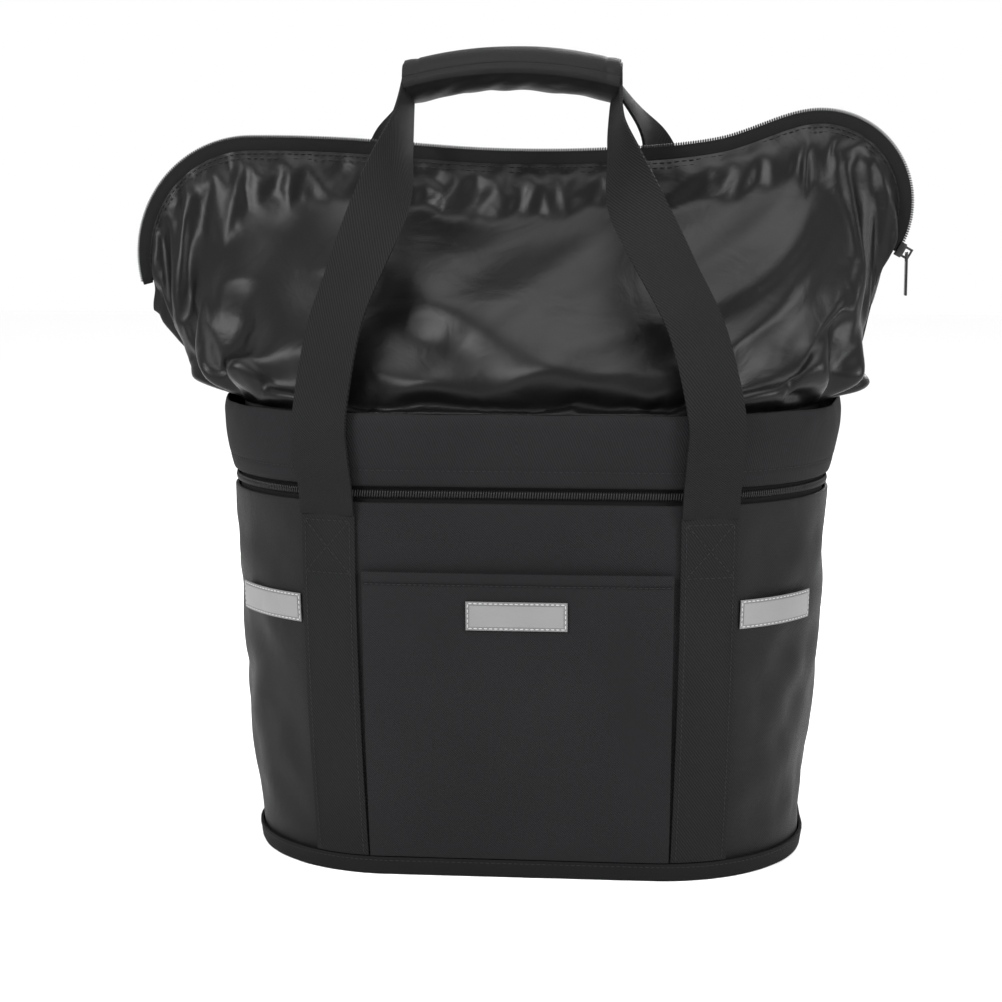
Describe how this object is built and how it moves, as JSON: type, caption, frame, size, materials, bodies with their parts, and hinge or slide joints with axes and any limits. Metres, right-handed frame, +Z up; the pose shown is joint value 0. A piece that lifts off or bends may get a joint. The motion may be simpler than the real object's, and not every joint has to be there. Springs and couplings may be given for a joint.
{
  "type": "handlebar basket",
  "caption": "Soft zip-top bag with a stiff rim, front pocket, webbing carry handles and a quick-release handlebar bracket on its back.",
  "frame": {"origin": "on the underside of the base, under the middle of the bag", "axes": "+Z up out of the base, -Y out of the front with the pocket, +Y towards the handlebar, +X to the right seen from the front"},
  "size_m": [0.4839, 0.3273, 0.4933],
  "materials": {
    "twill": "matte polyester twill",
    "nylon": "lightly shiny coated nylon",
    "webbing": "matte ribbed webbing and tape",
    "zip_nylon": "satin nylon coil",
    "black_metal": "black satin",
    "black_plastic": "fine-textured moulding",
    "grey_board": "matte sheet",
    "silver_tape": "retroreflective silver",
    "aluminium": "mill finish",
    "steel": "zinc plated",
    "red_plastic": "satin moulding"
  },
  "bodies": {
    "bag": {"front_panel": "twill", "back_panel": "twill", "front_pocket": "twill", "rim_band": "twill", "base_panel": "twill", "left_side_panel": "nylon", "right_side_panel": "nylon", "hood": "nylon", "base_binding": "webbing", "left_piping": "webbing", "right_piping": "webbing", "pocket_hem": "webbing", "rim_zip_lower_tape": "webbing", "rim_zip_upper_tape": "webbing", "front_left_webbing_sewn": "webbing", "front_left_webbing_free": "webbing", "front_right_webbing_sewn": "webbing", "front_right_webbing_free": "webbing", "back_left_webbing_sewn": "webbing", "back_left_webbing_free": "webbing", "back_right_webbing_sewn": "webbing", "back_right_webbing_free": "webbing", "rim_zip_coil": "zip_nylon", "adapter_plate": "black_plastic", "bracket_body": "black_plastic", "left_clamp_cap": "black_plastic", "right_clamp_cap": "black_plastic", "base_board": "grey_board", "back_board": "grey_board", "front_reflector": "silver_tape", "left_reflector": "silver_tape", "right_reflector": "silver_tape", "rim_frame": "aluminium", "backing_plate": "aluminium", "button_spring": "steel", "adapter_screw_1": "steel", "adapter_screw_2": "steel", "adapter_screw_3": "steel", "adapter_screw_4": "steel", "clamp_bolt_1": "steel", "clamp_bolt_2": "steel", "clamp_bolt_3": "steel", "clamp_bolt_4": "steel"},
    "ridge": {"top_zip_chain": "zip_nylon", "top_zip_front_tape": "webbing", "top_zip_back_tape": "webbing"},
    "top_slider": {"top_zip_slider": "black_metal"},
    "top_pull": {"top_zip_pull": "black_metal"},
    "rim_slider": {"rim_zip_slider": "black_metal"},
    "rim_pull": {"rim_zip_pull": "black_metal"},
    "grip": {"front_grip_webbing": "webbing", "back_grip_webbing": "webbing", "grip_wrap": "nylon"},
    "flap": {"grip_flap": "nylon"},
    "button": {"release_button": "red_plastic"},
    "latch": {"latch": "steel"}
  },
  "joints": [
    {"name": "hood_slump", "type": "slide", "parent": "bag", "child": "ridge", "axis": [0, 0, 1], "range_m": [-0.06, 0], "deforming": ["hood"]},
    {"name": "top_zip", "type": "hinge", "parent": "ridge", "child": "top_slider", "pos_m": [0.176, 0, 0.399], "axis": [0, -1, 0], "range_deg": [0, 114]},
    {"name": "top_pull_swing", "type": "hinge", "parent": "top_slider", "child": "top_pull", "pos_m": [0.2299, 0, 0.3689], "axis": [0, -1, 0], "range_deg": [-20, 130]},
    {"name": "rim_zip", "type": "slide", "parent": "bag", "child": "rim_slider", "axis": [-1, 0, 0], "range_m": [0, 0.16]},
    {"name": "rim_pull_swing", "type": "hinge", "parent": "rim_slider", "child": "rim_pull", "pos_m": [0.08, 0.1188, 0.2331], "axis": [1, 0, 0], "range_deg": [0, 120]},
    {"name": "grip_drop", "type": "slide", "parent": "bag", "child": "grip", "axis": [0, 0, 1], "range_m": [-0.017, 0], "deforming": ["front_left_webbing_free", "front_right_webbing_free", "back_left_webbing_free", "back_right_webbing_free"]},
    {"name": "flap_open", "type": "hinge", "parent": "grip", "child": "flap", "pos_m": [0, 0.0175, 0.4738], "axis": [-1, 0, 0], "range_deg": [0, 100]},
    {"name": "button_press", "type": "slide", "parent": "bag", "child": "button", "axis": [0, 0, -1], "range_m": [0, 0.005], "stiffness_N_per_m": 600, "deforming": ["button_spring"]},
    {"name": "latch_draw", "type": "slide", "parent": "bag", "child": "latch", "axis": [0, 1, 0], "range_m": [0, 0.003]}
  ],
  "couplings": [
    {"joint": "latch_draw", "follows": "button_press", "ratio": 0.6}
  ]
}
